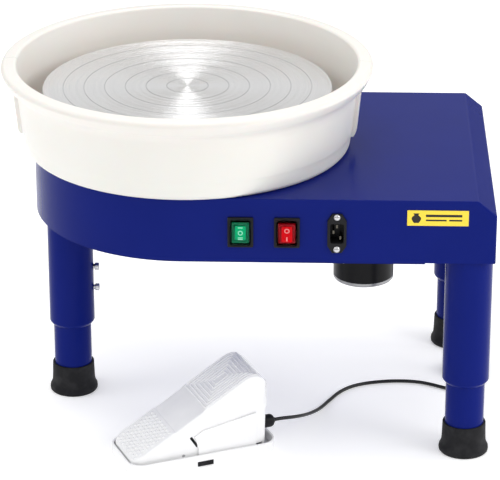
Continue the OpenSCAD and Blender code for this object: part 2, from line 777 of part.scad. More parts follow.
module treadle() {
    color(white) in_pedal() difference() {
        union() {
            difference() {
                tread_block(0);
                tread_block(tread_t);
            }
            treadle_sector();
            translate([spring_x, 0, 0]) rod_z(7, spring_z[1], tread_z(spring_x - 7) - 1.5);
        }
        translate([pivot[0], 0, pivot[1]]) rotate([90, 0, 0]) cylinder(r = pin_r + run_gap, h = 100, center = true);
        block([tread_x1 - 12, gland_row[0] - 8.6, 0], [tread_x1 + 5, gland_row[0] + 8.6, gland_row[1] + 23]);
        for (s = [-1, 1]) translate([-13, s * tread_hw, 30]) rotate([0, 58, 0])
            cube([16, 6, 3.4], center = true);
    }
}

// Side outline of the two cheeks that stand outside the treadle's skirt
cheek_side = [[-8, floor_t - 0.1], [-8, 21], [-12.5, 37], [-2, 43.5], [66, 55], [66, floor_t - 0.1]];

module pedal_base() {
    ear_y = tread_hw - tread_t - 1;
    color(white) in_pedal() {
        difference() {
            linear_extrude(pedal_base_h) polygon(round_rect(-hl, hl, hw, 20, 20));
            translate([0, 0, floor_t]) linear_extrude(pedal_base_h) polygon(round_rect(
                3 - hl, hl - 3, hw - 3, 17, 17));
            for (s = [-1, 1]) block([-11.2, s * (hw - 1.5) - 2, -1], [9.2, s * (hw - 1.5) + 2, 6.2]);
        }
        for (s = [-1, 1]) translate([0, s * (tread_hw + 1.3) + 0.8, 0]) rotate([90, 0, 0])
            linear_extrude(1.6) polygon(cheek_side);
        for (s = [-1, 1]) difference() {
            block([pivot[0] - 6, s * (ear_y - 1.5) - 1.5, floor_t - 0.1], [pivot[0] + 6, s * (ear_y - 1.5) + 1.5, 20]);
            translate([pivot[0], 0, pivot[1]]) rotate([90, 0, 0]) cylinder(r = pin_r, h = 100, center = true);
        }
        difference() {
            block([76.5, gland_row[0] - 8, floor_t - 0.1], [tread_x1 - 7.5, gland_row[0] + 8, gland_row[1] + 8]);
            translate([70, gland_row[0], gland_row[1]]) rotate([0, 90, 0]) cylinder(r = 4, h = 30);
        }
        translate([spring_x, 0, 0]) rod_z(7, floor_t - 0.1, spring_z[0]);
        difference() {
            block([pot_at[0] - 11, pot_y - 2, floor_t - 0.1], [pot_at[0] + 11, pot_y, pot_at[1] + 10]);
            translate([pot_at[0], 0, pot_at[1]]) rotate([-90, 0, 0]) rod_z(4, pot_y - 5, pot_y + 5);
        }
    }
}

module pedal_feet() {
    color(black) in_pedal() for (s = [-1, 1])
        block([-11, s * (hw - 1.4) - 1.9, 0], [9, s * (hw - 1.4) + 1.9, 6]);
}

module pedal_pin() {
    color(steel) in_pedal() translate([pivot[0], 0, pivot[1]]) rotate([90, 0, 0])
        cylinder(r = pin_r, h = 2 * tread_hw - 1.5, center = true);
}

spring_x = 10;
spring_z = [14, 52];
spring_r = 5;
spring_wire = 0.8;
spring_turns = 7;

// Points round one cross-section of the spring's wire, at angle a along the helix
function spring_section(a, n = 6) =
    let (z = spring_z[0] + spring_wire + (spring_z[1] - spring_z[0] - 2 * spring_wire) * a / (360 * spring_turns))
    [for (i = [0:n - 1]) let (q = 360 * i / n, rr = spring_r + spring_wire * cos(q))
        [rr * cos(a), rr * sin(a), z + spring_wire * sin(q)]];

// A swept skin over rings of points that all have the same count
module skin(rings) {
    m = len(rings[0]);
    n = len(rings);
    polyhedron(
        points = [for (ring = rings) for (p = ring) p],
        faces = concat(
            [[for (i = [0:m - 1]) i]],
            [for (k = [0:n - 2], i = [0:m - 1])
                [k * m + i, (k + 1) * m + i, (k + 1) * m + (i + 1) % m, k * m + (i + 1) % m]],
            [[for (i = [m - 1:-1:0]) (n - 1) * m + i]]));
}

module pedal_spring() {
    color(steel) in_pedal() translate([spring_x, 0, 0])
        skin([for (a = [0:24:360 * spring_turns]) spring_section(a)]);
}

module pedal_pot() {
    color([0.2, 0.35, 0.6]) in_pedal() translate([pot_at[0], 0, pot_at[1]]) rotate([-90, 0, 0]) difference() {
        rod_z(9, pot_y, pot_y + 10);
        rod_z(3 + run_gap, pot_y - 1, pot_y + 8);
    }
}

module pot_pinion() {
    pitch = 360 / gear_teeth[1];
    color(white) in_pedal() translate([pot_at[0], 0, pot_at[1]]) {
        translate([0, sector_y, 0]) rotate([90, 0, 0]) linear_extrude(sector_w) {
            circle(r = pinion_r - 1.3);
            for (k = [0:gear_teeth[1] - 1]) gear_tooth(pinion_r, mesh_angle + 180 + (k + 0.5) * pitch);
        }
        rotate([-90, 0, 0]) rod_z(3, sector_y - sector_w, pot_y + 7.5);
    }
}

// ---------------------------------------------------------------- cord and its glands
gland_x = 346;
gland_y = 41;
body_gland_r = 6;
body_gland_end = under_clear - 20;

module pedal_gland() {
    color(black) in_pedal() translate([tread_x1 - 7.5, gland_row[0], gland_row[1]]) rotate([0, 90, 0])
        rotate_extrude() polygon(concat(
            [[0, -11], [3.9, -11], [3.9, 0], [8, 0], [8, 8]], arc(2.6, 10, 5.4, 0, 80, 5),
            [[2.6, 17], [0, 17]]));
}

module body_gland() {
    color(black) translate([gland_x, gland_y, 0]) difference() {
        union() {
            rod_z(body_gland_r, under_clear - 1, under_clear + 12);
            rod_z(9.5, under_clear + bridge_t, under_clear + bridge_t + 5, $fn = 6);
            rod_z(9.5, under_clear - 7, under_clear, $fn = 6);
            translate([0, 0, body_gland_end]) cylinder(r1 = 3.4, r2 = 8, h = 13);
        }
        rod_z(1, under_clear + 6, under_clear + 13);
    }
}

cord_r = cord_d / 2;
lie_z = 2.35;
coil_at = [350, 62];
coil_rows = [21.75, 26.25];

// The cord's route from the pedal's gland to the coil, in the part's own frame
run_route = [
    [110, -150, 33], [119, -145.5, 32.5], [129.5, -136.5, 29.5], [139, -122, 24], [148, -102, 16.5],
    [157, -80, 9.5], [166, -57, 4.3], [176, -33, lie_z], [189, -9, lie_z], [205, 8, lie_z],
    [226, 18.5, lie_z], [250, 24, lie_z], [272, 25, lie_z], [291, 22, lie_z], [307, 15, lie_z],
    [321, 7, lie_z], [334, 2, lie_z], [346, 2.5, lie_z], [357, 8, lie_z], [366, 17.5, lie_z],
    [372, 30, lie_z], [375.3, 45, lie_z], [376.2, 60, lie_z]];

// The cord's route from the coil up to the gland under the body
riser_route = [
    [329, 67.6, 11.4], [328.3, 59, 12], [330, 51, 14.5], [334, 45, 19.5], [339, 41.7, 28],
    [343.2, 40.6, 40], [345.4, 40.7, 56], [346, 41, 76], [346.2, 41.1, 120], [346.1, 41, 180],
    [346, 41, 214], [346, 41, 236]];

function unit(v) = v / norm(v);
function smooth(a, b, c, d, t) =
    0.5 * (2 * b + (c - a) * t + (2 * a - 5 * b + 4 * c - d) * t * t + (3 * b - a - 3 * c + d) * t * t * t);
// The route with each stretch cut into steps on a smooth curve through its points
function smoothed(p, steps) = concat([for (i = [0:len(p) - 2], k = [0:steps - 1])
    smooth(p[max(i - 1, 0)], p[i], p[i + 1], p[min(i + 2, len(p) - 1)], k / steps)], [p[len(p) - 1]]);
function along(p, i) = unit(p[min(i + 1, len(p) - 1)] - p[max(i - 1, 0)]);
function cord_ring(c, d, side) =
    let (u = unit(cross(d, side)), v = cross(d, u))
    [for (q = [0:45:315]) c + cord_r * (cos(q) * u + sin(q) * v)];

module cord_tube(p, side) {
    color(black) skin([for (i = [0:len(p) - 1]) cord_ring(p[i], along(p, i), side)]);
}

module cord_run() { cord_tube(smoothed(run_route, 2), [0, 0, 1]); }
module cord_riser() { cord_tube(smoothed(riser_route, 2), unit([0.3, 1, 0.02])); }

module cord_coil() {
    low = 0.1;
    high = lie_z + 2 * cord_d + cord_r;
    r0 = coil_rows[0] - cord_r;
    r1 = coil_rows[1] + cord_r;
    color(black) translate([coil_at[0], coil_at[1], 0]) rotate_extrude() polygon([
        [r0 + 1, low], [r1 - 1, low], [r1, low + 1], [r1, high - 1], [r1 - 1, high], [r0 + 1, high],
        [r0, high - 1], [r0, low + 1]]);
}

placed() body_shell();
placed() base_plate();
placed() leg_bridge();
placed() body_screws();
placed() name_plate();
placed() bearing_housing();
placed() bearing_outer_rings();
placed() spindle();
placed() driven_pulley();
placed() drive_belt();
placed() motor_pulley();
placed() motor_shaft();
placed() motor_can();
placed() motor_end_ring();
placed() motor_plate();
placed() wheel_hub();
placed() hub_screws();
placed() wheel_head();
placed() basin_front();
placed() basin_front_floor();
placed() basin_rear();
placed() basin_rear_floor();
placed() control_box();
placed() wiring_loom();
placed() green_switch_body();
placed() green_rocker();
placed() green_switch_cap();
placed() red_switch_body();
placed() red_rocker();
placed() red_switch_cap();
placed() inlet_body();
placed() inlet_pins();
placed() inlet_screws();
placed() left_leg_tube();
placed() right_front_leg_tube();
placed() right_rear_leg_tube();
placed() left_leg_slide();
placed() right_front_leg_slide();
placed() right_rear_leg_slide();
placed() left_foot();
placed() right_front_foot();
placed() right_rear_foot();
placed() left_upper_screw();
placed() left_lower_screw();
placed() right_front_upper_screw();
placed() right_front_lower_screw();
placed() right_rear_upper_screw();
placed() right_rear_lower_screw();
placed() pedal_base();
placed() pedal_feet();
placed() treadle();
placed() pedal_pin();
placed() pedal_spring();
placed() pedal_pot();
placed() pot_pinion();
placed() pedal_gland();
placed() body_gland();
placed() color(black) difference() { cord_run(); cord_coil(); }
placed() cord_coil();
placed() color(black) difference() { cord_riser(); cord_coil(); }
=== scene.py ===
# %% [markdown]
# # A potter's wheel, from frame to finish
# The machine is a round-ended box of folded sheet steel on three telescoping legs. It holds a
# motor, a belt and a spindle, and the spindle turns an aluminium wheel head inside a plastic
# splash basin. A white foot pedal on a black cord sets the speed. The frame below already has every
# hard part in its right place. This script adds what a frame lacks: rounded edges, tread bumps,
# a real cord, finishes, light and a camera.

# %% The frame and the tools
import json
import math

import bmesh
import bpy
from mathutils import Matrix, Vector


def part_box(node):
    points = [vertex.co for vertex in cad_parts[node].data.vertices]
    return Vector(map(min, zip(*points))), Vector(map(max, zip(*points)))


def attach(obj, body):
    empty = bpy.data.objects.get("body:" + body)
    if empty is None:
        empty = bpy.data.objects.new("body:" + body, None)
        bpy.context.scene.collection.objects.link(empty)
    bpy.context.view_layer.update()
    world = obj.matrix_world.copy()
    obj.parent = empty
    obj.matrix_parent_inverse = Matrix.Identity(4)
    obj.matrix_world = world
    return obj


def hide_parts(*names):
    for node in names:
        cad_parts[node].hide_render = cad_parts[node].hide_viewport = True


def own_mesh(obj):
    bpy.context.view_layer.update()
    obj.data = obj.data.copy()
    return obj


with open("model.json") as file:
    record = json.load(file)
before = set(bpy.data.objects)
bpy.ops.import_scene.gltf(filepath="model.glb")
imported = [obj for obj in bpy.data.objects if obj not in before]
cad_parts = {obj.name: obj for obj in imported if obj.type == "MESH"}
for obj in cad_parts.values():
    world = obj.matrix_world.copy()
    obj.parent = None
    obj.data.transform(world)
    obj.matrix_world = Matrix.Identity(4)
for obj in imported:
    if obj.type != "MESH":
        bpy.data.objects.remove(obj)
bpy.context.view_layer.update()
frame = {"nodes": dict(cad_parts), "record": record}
nodes = frame["nodes"]
slot_of = {part["node"]: part["material_slot"] for part in frame["record"]["subparts"]}
body_of = {node: body for body, members in frame["record"]["behaviour"]["bodies"].items()
           for node in members}
MM = 0.001

# %% [markdown]
# The frame's origin is on the floor under the middle of everything. The wheel turns about its own
# upright axis, and most sizes are easier to say from there, so `at` takes millimetres from the
# point where that axis meets the floor. The axis is found from the wheel head's own box.

# %% Millimetres from the wheel's axis
head_low, head_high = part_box("wheel_head")
axle = Vector(((head_low.x + head_high.x) / 2, (head_low.y + head_high.y) / 2, 0))


def at(x, y, z):
    return axle + Vector((x, y, z)) * MM


def linked(name, data):
    """A new object that is part of the scene."""
    made = bpy.data.objects.new(name, data)
    bpy.context.scene.collection.objects.link(made)
    return made


print("wheel axis at", [round(value, 4) for value in axle])

# %% [markdown]
# ## The camera
# A long lens from over three metres away keeps upright lines upright, and makes the legs of the
# far side nearly as large as those of the near side. The camera stands a little to the right and
# looks down at the wheel.

# %% Camera
camera_data = bpy.data.cameras.new("camera")
camera_data.sensor_width = 36
camera_data.lens = 198.2
camera = linked("camera", camera_data)
camera.location = at(170.6, -3132.6, 1522.8)
look = at(75.5, 0, 204.6) - camera.location
camera.rotation_euler = look.to_track_quat("-Z", "Y").to_euler()
bpy.context.scene.camera = camera
print("camera distance", round(look.length, 3), "m")

# %% [markdown]
# ## The pedal's cord
# The cord is one length of round black cable. It leaves the pedal at a gland, lies on the floor
# in a lazy curve, is wound into a small coil behind the front right leg, and climbs to a gland
# under the body. A curve with a round bevel keeps it one even thickness all the way. The routes are
# a few points each, and a Catmull-Rom spline runs smoothly through them.

# %% Smooth routes
cord_diameter = 4.5
lie = 2.35  # height of the cable's middle when it lies on the floor


def smooth_route(points, steps):
    """Points on a smooth curve through the given ones, as a Catmull-Rom spline."""
    ends = [points[0], *points, points[-1]]
    route = []
    for a, b, c, d in zip(ends, ends[1:], ends[2:], ends[3:]):
        for k in range(steps):
            t = k / steps
            route.append([
                0.5 * (2 * q + (r - p) * t + (2 * p - 5 * q + 4 * r - s) * t * t
                       + (3 * q - p - 3 * r + s) * t ** 3)
                for p, q, r, s in zip(a, b, c, d)])
    return route + [list(points[-1])]


floor_route = [
    (110, -150, 33), (119, -145.5, 32.5), (129.5, -136.5, 29.5), (139, -122, 24), (148, -102, 16.5),
    (157, -80, 9.5), (166, -57, 4.3), (176, -33, lie), (189, -9, lie), (205, 8, lie), (226, 18.5, lie),
    (250, 24, lie), (272, 25, lie), (291, 22, lie), (307, 15, lie), (321, 7, lie), (334, 2, lie),
    (346, 2.5, lie), (357, 8, lie), (366, 17.5, lie), (372, 30, lie), (375.3, 45, lie),
    (376.2, 60, lie)]
rising_route = [
    (329, 67.6, 11.4), (328.3, 59, 12), (330, 51, 14.5), (334, 45, 19.5), (339, 41.7, 28),
    (343.2, 40.6, 40), (345.4, 40.7, 56), (346, 41, 76), (346.2, 41.1, 120), (346.1, 41, 180),
    (346, 41, 214), (346, 41, 236)]

# %% [markdown]
# A coil of cable has its turns side by side, and steps from one row to the next in a short
# stretch of each turn. The table below says at which angle the cable is in which column and layer.
# The steps of two turns never share an angle, so the cable never passes through itself.

# %% The coil
coil_x, coil_y = 350, 62
outer, inner = 26.25, 21.75
coil_steps = [  # angle in degrees, radius, height
    (-4, outer, lie), (296, outer, lie), (356, inner, lie), (600, inner, lie),
    (656, inner, lie + 4.5), (900, inner, lie + 4.5), (960, outer, lie + 4.5),
    (1200, outer, lie + 4.5), (1260, outer, lie + 9), (1500, outer, lie + 9),
    (1560, inner, lie + 9), (1605, inner, lie + 9)]


def coil_point(angle):
    for (a0, r0, z0), (a1, r1, z1) in zip(coil_steps, coil_steps[1:]):
        if angle <= a1:
            t = (angle - a0) / (a1 - a0)
            ease = t * t * (3 - 2 * t)
            r = r0 + (r1 - r0) * ease
            turn = math.radians(angle)
            return [coil_x + r * math.cos(turn), coil_y + r * math.sin(turn), z0 + (z1 - z0) * ease]


coil_route = [coil_point(angle) for angle in range(4, 1598, 10)]
whole_route = smooth_route(floor_route, 3) + coil_route + smooth_route(rising_route, 3)
cord_points = [at(*place) for place in whole_route]
cord_length = sum((b - a).length for a, b in zip(cord_points, cord_points[1:]))
print("cord length", round(cord_length, 3), "m in", len(cord_points), "points")

# %% The cord itself
cord_curve = bpy.data.curves.new("pedal_cord", "CURVE")
cord_curve.dimensions = "3D"
cord_curve.bevel_depth = cord_diameter / 2 * MM
cord_curve.bevel_resolution = 3
cord_curve.use_fill_caps = True
line = cord_curve.splines.new("POLY")
line.points.add(len(cord_points) - 1)
for point, place in zip(line.points, cord_points):
    point.co = (*place, 1)
line.use_smooth = True
cord = linked("pedal_cord", cord_curve)

# %% [markdown]
# ## Writing node trees as Python
# Finishes and repeated details are both made of nodes. `Net` adds a node in one call, and
# `Signal` wraps an output so that plain sums such as `1 - mask * 0.3` add the Math nodes.

# %% Node trees in short
class Signal:
    """One output of a node, which can be used in sums."""

    def __init__(self, net, socket):
        self.net, self.socket = net, socket

    def other(self, name):
        return Signal(self.net, self.socket.node.outputs[name])

    def _math(self, operation, a, b):
        return self.net.node("ShaderNodeMath", {"operation": operation}, {0: a, 1: b})

    def __add__(self, value):
        return self._math("ADD", self, value)

    def __sub__(self, value):
        return self._math("SUBTRACT", self, value)

    def __rsub__(self, value):
        return self._math("SUBTRACT", value, self)

    def __mul__(self, value):
        return self._math("MULTIPLY", self, value)

    def __truediv__(self, value):
        return self._math("DIVIDE", self, value)

    __radd__ = __add__
    __rmul__ = __mul__


class Net:
    """A node tree, built one node at a time."""

    def __init__(self, tree):
        self.tree = tree

    def node(self, kind, settings=None, values=None, out=0):
        made = self.tree.nodes.new(kind)
        for key, value in (settings or {}).items():
            if key == "stops":
                ramp = made.color_ramp
                while len(ramp.elements) < len(value):
                    ramp.elements.new(0.5)
                for element, (position, colour) in zip(ramp.elements, value):
                    element.position, element.color = position, (*colour, 1)
            else:
                setattr(made, key, value)
        for key, value in (values or {}).items():
            self.join(made.inputs[key], value)
        return Signal(self, made.outputs[out])

    def join(self, socket, value):
        if isinstance(value, Signal):
            self.tree.links.new(value.socket, socket)
        else:
            socket.default_value = value


# %% [markdown]
# ## Finishes
# Every finish is a Principled shader with a few steady values and some noise that changes the
# colour, the roughness or the slope of the surface a little from place to place. All of them read
# Object coordinates, which here are metres in the object's own frame.

# %% One finish
class Finish(Net):
    """A material with one Principled shader."""

    def __init__(self, name, colour, roughness, **steady):
        self.material = bpy.data.materials.new(name)
        self.material.use_nodes = True
        super().__init__(self.material.node_tree)
        self.shader = self.tree.nodes["Principled BSDF"]
        self.set("Base Color", (*colour, 1))
        self.set("Roughness", roughness)
        for key, value in steady.items():
            self.set(key.replace("_", " "), value)

    def set(self, name, value):
        self.join(self.shader.inputs[name], value)

    def place(self, centre=(0, 0, 0), stretch=(1, 1, 1)):
        """Object coordinates about a centre, stretched along each axis."""
        where = self.node("ShaderNodeTexCoord", out="Object")
        return self.node("ShaderNodeMapping", None, {
            "Vector": where, "Location": [-c * s for c, s in zip(centre, stretch)], "Scale": stretch})

    def noise(self, size, detail=2.0, where=None):
        """Smooth noise from 0 to 1 whose blots are about so many millimetres wide."""
        return self.node("ShaderNodeTexNoise", None, {
            "Vector": where or self.place(), "Scale": 1 / (size * MM), "Detail": detail})

    def ramp(self, value, *stops):
        return self.node("ShaderNodeValToRGB", {"stops": stops}, {"Fac": value})

    def blend(self, mask, first, second):
        made = self.node("ShaderNodeMix", {"data_type": "RGBA"}, {0: mask}, out=2)
        for key, value in ((6, first), (7, second)):
            self.join(made.socket.node.inputs[key], value if isinstance(value, Signal) else (*value, 1))
        return made

    def relief(self, height, depth, strength=1.0):
        """Tips the surface as if it had this height, in millimetres from low to high."""
        self.set("Normal", self.node("ShaderNodeBump", None, {
            "Height": height, "Distance": depth * MM, "Strength": strength}))


# %% [markdown]
# The blue is baked enamel. It looks flat at first, but sprayed paint always dries with a
# slight orange peel, and hands leave the gloss a little uneven. Both are kept very faint. Its
# mirror part is kept low as well, so that the deep blue isn't washed out by the white room.

# %% Blue enamel
enamel = Finish("blue_enamel", (0.004, 0.011, 0.17), 0.22, Specular_IOR_Level=0.06)
smears = enamel.noise(60, 3)
enamel.set("Base Color", enamel.blend(smears, (0.0032, 0.0105, 0.148), (0.0045, 0.0125, 0.172)))
enamel.set("Roughness", 0.17 + enamel.noise(25, 4) * 0.1)
enamel.relief(enamel.noise(1.6, 2), 0.01, 0.5)

# %% [markdown]
# The wheel head is aluminium turned on a lathe. The tool leaves fine circles, and each circle
# reflects the lights as a streak across it, so bright fans open from the middle. Here each circle
# tips the surface a little in or out along its radius: a random tilt for each thin ring, the same
# all the way round. The tilt is worked out in the wheel's own frame and then turned with it. The
# few deeper rings that help a potter to centre the clay are 25 mm apart, and the shade in them is
# painted into the colour as thin darker grey lines.

# %% Turned aluminium
broad_ring = 4  # mm across the slow changes that lie over the fine circles
groove_core, groove_edge = 0.4, 0.9  # mm from a groove's middle, where it is darkest and where it ends
groove_shade_grey = (0.72, 0.72, 0.73)


def turned_metal(name, centre, colour, roughness, tilt, ring, groove_pitch=None):
    """Metal turned about an upright axis, whose thin rings of so many mm lean in or out by the tilt."""
    metal = Finish(name, colour, roughness, Metallic=1.0)
    where = metal.place(centre)
    flat = metal.node("ShaderNodeVectorMath", {"operation": "MULTIPLY"}, {0: where, 1: (1, 1, 0)})
    radius = metal.node("ShaderNodeVectorMath", {"operation": "LENGTH"}, {0: flat}, out="Value")
    outwards = metal.node("ShaderNodeVectorMath", {"operation": "NORMALIZE"}, {0: flat})
    fine = metal.node("ShaderNodeTexWhiteNoise", {"noise_dimensions": "1D"}, {
        "W": metal.node("ShaderNodeMath", {"operation": "FLOOR"}, {0: radius * (1 / (ring * MM))})})
    broad = metal.node("ShaderNodeTexNoise", {"noise_dimensions": "1D"}, {
        "W": radius * (1 / (broad_ring * MM)), "Scale": 1.0, "Detail": 2.0})
    lean = (fine - 0.5) * tilt + (broad - 0.5) * (tilt * 0.4)
    sideways = metal.node("ShaderNodeVectorMath", {"operation": "SCALE"}, {0: outwards, "Scale": lean})
    turned = metal.node("ShaderNodeVectorTransform", {
        "vector_type": "VECTOR", "convert_from": "OBJECT", "convert_to": "WORLD"}, {0: sideways})
    normal = metal.node("ShaderNodeNewGeometry", out="Normal")
    leaning = metal.node("ShaderNodeVectorMath", {"operation": "ADD"}, {0: normal, 1: turned})
    metal.set("Normal", metal.node("ShaderNodeVectorMath", {"operation": "NORMALIZE"}, {0: leaning}))
    metal.set("Roughness", roughness + (broad - 0.5) * 0.1)
    dark = [value * 0.93 for value in colour]
    shade = metal.blend(broad, dark, colour)
    # Painted shade: the deeper rings are thin darker grey lines in the colour, not shade cast by their
    # shape
    if groove_pitch:
        apart = metal.node("ShaderNodeMath", {"operation": "PINGPONG"}, {
            0: radius, 1: groove_pitch / 2 * MM})
        groove = metal.node("ShaderNodeMapRange", None, {
            "Value": apart, "From Min": groove_core * MM, "From Max": groove_edge * MM,
            "To Min": 1.0, "To Max": 0.0})
        shade = metal.blend(groove, shade, groove_shade_grey)
    metal.set("Base Color", shade)
    return metal


turned = turned_metal("turned_aluminium", axle, (0.88, 0.88, 0.885), 0.2, tilt=0.62,
                      ring=0.012, groove_pitch=25)
motor_low, motor_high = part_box("motor_end_ring")
motor_axis = (motor_low + motor_high) / 2
bare_end = turned_metal("turned_motor_end", motor_axis, (0.34, 0.34, 0.35), 0.34, tilt=0.2, ring=0.05)

# %% [markdown]
# The basin is pale cream plastic, thick enough to let a little light in, so it gets some
# subsurface light. Moulded plastic has faint broad ripples where it flowed and cooled. The other
# plastics and the paints share one recipe and differ in colour, gloss and grain.

# %% Plastics
basin_plastic = Finish("cream_basin_plastic", (0.82, 0.80, 0.75), 0.3, Subsurface_Weight=0.12,
                       Subsurface_Scale=0.012, Specular_IOR_Level=0.45)
basin_plastic.set("Base Color", basin_plastic.blend(
    basin_plastic.noise(90, 2), (0.84, 0.825, 0.785), (0.81, 0.785, 0.735)))
basin_plastic.set("Roughness", 0.26 + basin_plastic.noise(30, 3) * 0.14)
basin_plastic.relief(basin_plastic.noise(28, 1), 0.10, 0.35)


def moulded(name, colour, roughness=0.3, grain=0.6, depth=0.01, spread=0.1, **steady):
    """Plain moulded plastic with a fine grain and slightly uneven gloss."""
    steady.setdefault("Specular_IOR_Level", 0.3)
    plastic = Finish(name, colour, roughness, **steady)
    lighter = [min(1, value * 1.06 + 0.002) for value in colour]
    darker = [value * 0.94 for value in colour]
    plastic.set("Base Color", plastic.blend(plastic.noise(20, 3), darker, lighter))
    plastic.set("Roughness", roughness - spread / 2 + plastic.noise(9, 3) * spread)
    plastic.relief(plastic.noise(grain, 2), depth, 0.6)
    return plastic


white_plastic = moulded("white_pedal_plastic", (0.96, 0.96, 0.97), 0.24, 12, 0.04,
                        Specular_IOR_Level=0.5)
black_plastic = moulded("black_plastic", (0.01, 0.01, 0.012), 0.38, Specular_IOR_Level=0.15)
green_plastic = moulded("green_switch_plastic", (0.0, 0.12, 0.065), 0.22, 3)
red_plastic = moulded("red_switch_plastic", (0.22, 0.0, 0.012), 0.22, 3)
green_lens = moulded("green_lens_plastic", (0.0, 0.48, 0.25), 0.2, 3, Specular_IOR_Level=0.15)
red_lens = moulded("red_lens_plastic", (0.66, 0.0, 0.015), 0.2, 3, Specular_IOR_Level=0.15)
label_film = moulded("yellow_label_film", (1.0, 0.72, 0.06), 0.35, 4)
ink = moulded("black_ink", (0.02, 0.018, 0.015), 0.45)
white_ink = moulded("white_ink", (0.95, 0.97, 0.96), 0.4)
cable = moulded("black_cable", (0.012, 0.012, 0.013), 0.3, 1.2, 0.02)
wire_skin = moulded("red_wire_skin", (0.42, 0.02, 0.02), 0.35)
sensor_blue = moulded("blue_sensor_case", (0.04, 0.13, 0.4), 0.35)
motor_black = moulded("black_motor_paint", (0.007, 0.007, 0.008), 0.3, 1.5, 0.02,
                      Specular_IOR_Level=0.12)
box_grey = moulded("dark_box_paint", (0.07, 0.07, 0.08), 0.45)
pan_iron = moulded("rough_cast_iron", (0.12, 0.12, 0.125), 0.65, 1.2, 0.15, Metallic=0.7)

# %% [markdown]
# Rubber feet are matt and a little dusty: the dust is paler and sits in soft patches. The caps
# over the switches are thin clear film. Film that thin hardly bends light, so their IOR is close
# to 1. The faint green and red tints of two caps are painted light: the colour that each switch
# throws back into its own clear cap.

# %% Rubber, clear plastic and plain metals
rubber = Finish("black_rubber", (0.012, 0.012, 0.014), 0.6, Specular_IOR_Level=0.15)
dust = rubber.ramp(rubber.noise(14, 5), (0.45, (0, 0, 0)), (0.75, (1, 1, 1)))
rubber.set("Base Color", rubber.blend(dust, (0.012, 0.012, 0.014), (0.028, 0.028, 0.03)))
rubber.set("Roughness", 0.55 + rubber.noise(6, 4) * 0.2)
rubber.relief(rubber.noise(0.7, 2), 0.03, 0.6)


def soft_clear(name, tint):
    """A thin see-through cap that bends light very little."""
    cap = Finish(name, tint, 0.05, Transmission_Weight=1.0, IOR=1.06, Specular_IOR_Level=0.3)
    cap.relief(cap.noise(10, 1), 0.05, 0.3)
    return cap


clear = soft_clear("clear_cap_plastic", (0.96, 0.98, 0.98))
# Painted light: these two caps are clear, and their tints are the switches' bounced colour painted in
green_bounce_cap = soft_clear("clear_cap_painted_green_bounce", (0.60, 0.95, 0.82))
red_bounce_cap = soft_clear("clear_cap_painted_red_bounce", (1.0, 0.58, 0.58))


def plain_metal(name, colour, roughness):
    metal = Finish(name, colour, roughness, Metallic=1.0)
    grain = metal.noise(2.5, 4)
    metal.set("Roughness", roughness - 0.06 + grain * 0.14)
    metal.set("Base Color", metal.blend(grain, [c * 0.85 for c in colour], colour))
    metal.relief(metal.noise(0.5, 2), 0.01, 0.5)
    return metal


steel = plain_metal("bright_steel", (0.62, 0.62, 0.64), 0.28)
cast_alloy = plain_metal("cast_alloy", (0.72, 0.73, 0.75), 0.4)
brass = plain_metal("dull_pins", (0.13, 0.12, 0.10), 0.36)

# %% [markdown]
# Each material slot of the frame's record gets its finish here. The frame's own parts take it
# straight away, and the pieces made later look it up by the part they stand for.

# %% Finishes on the frame's parts
finish_of = {
    "blue_paint": enamel, "alloy": cast_alloy, "steel": steel, "cast": pan_iron,
    "black_paint": motor_black, "bare_end": bare_end, "cream_plastic": basin_plastic,
    "white_plastic": white_plastic, "black_plastic": black_plastic, "green_plastic": green_plastic,
    "red_plastic": red_plastic, "clear_plastic": clear, "yellow_label": label_film,
    "rubber": rubber, "belt": rubber, "brass": brass, "box": box_grey, "wire": wire_skin,
    "pot_blue": sensor_blue, "cord": cable}
for name, part in nodes.items():
    for material_slot in part.material_slots:
        material_slot.material = (turned if name == "wheel_head" else finish_of[slot_of[name]]).material
print("finishes:", len(finish_of))

# %% [markdown]
# ## Rounded edges
# No real edge is sharp: folded steel bends round a small radius and moulded plastic has one
# everywhere, and that is where the light catches. A frame part is a bag of loose triangles, so its
# copy is merged, flat neighbours are joined to one face, and the chosen edges get a bevel. Weighted
# normals then keep the large faces flat-looking beside the narrow round ones.

# %% Rounding a copy of a part
def baked(piece):
    """Turns the piece and its modifiers into one plain mesh."""
    shape = piece.evaluated_get(bpy.context.evaluated_depsgraph_get())
    mesh = bpy.data.meshes.new_from_object(shape)
    piece.modifiers.clear()
    piece.data = mesh
    return piece


def wear(piece, node, finish=None):
    """Puts a piece in a part's place: on its body, in its slot and with its finish."""
    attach(piece, body_of[node])
    piece.data.materials.clear()
    piece.data.materials.append((finish or finish_of[slot_of[node]]).material)
    return piece


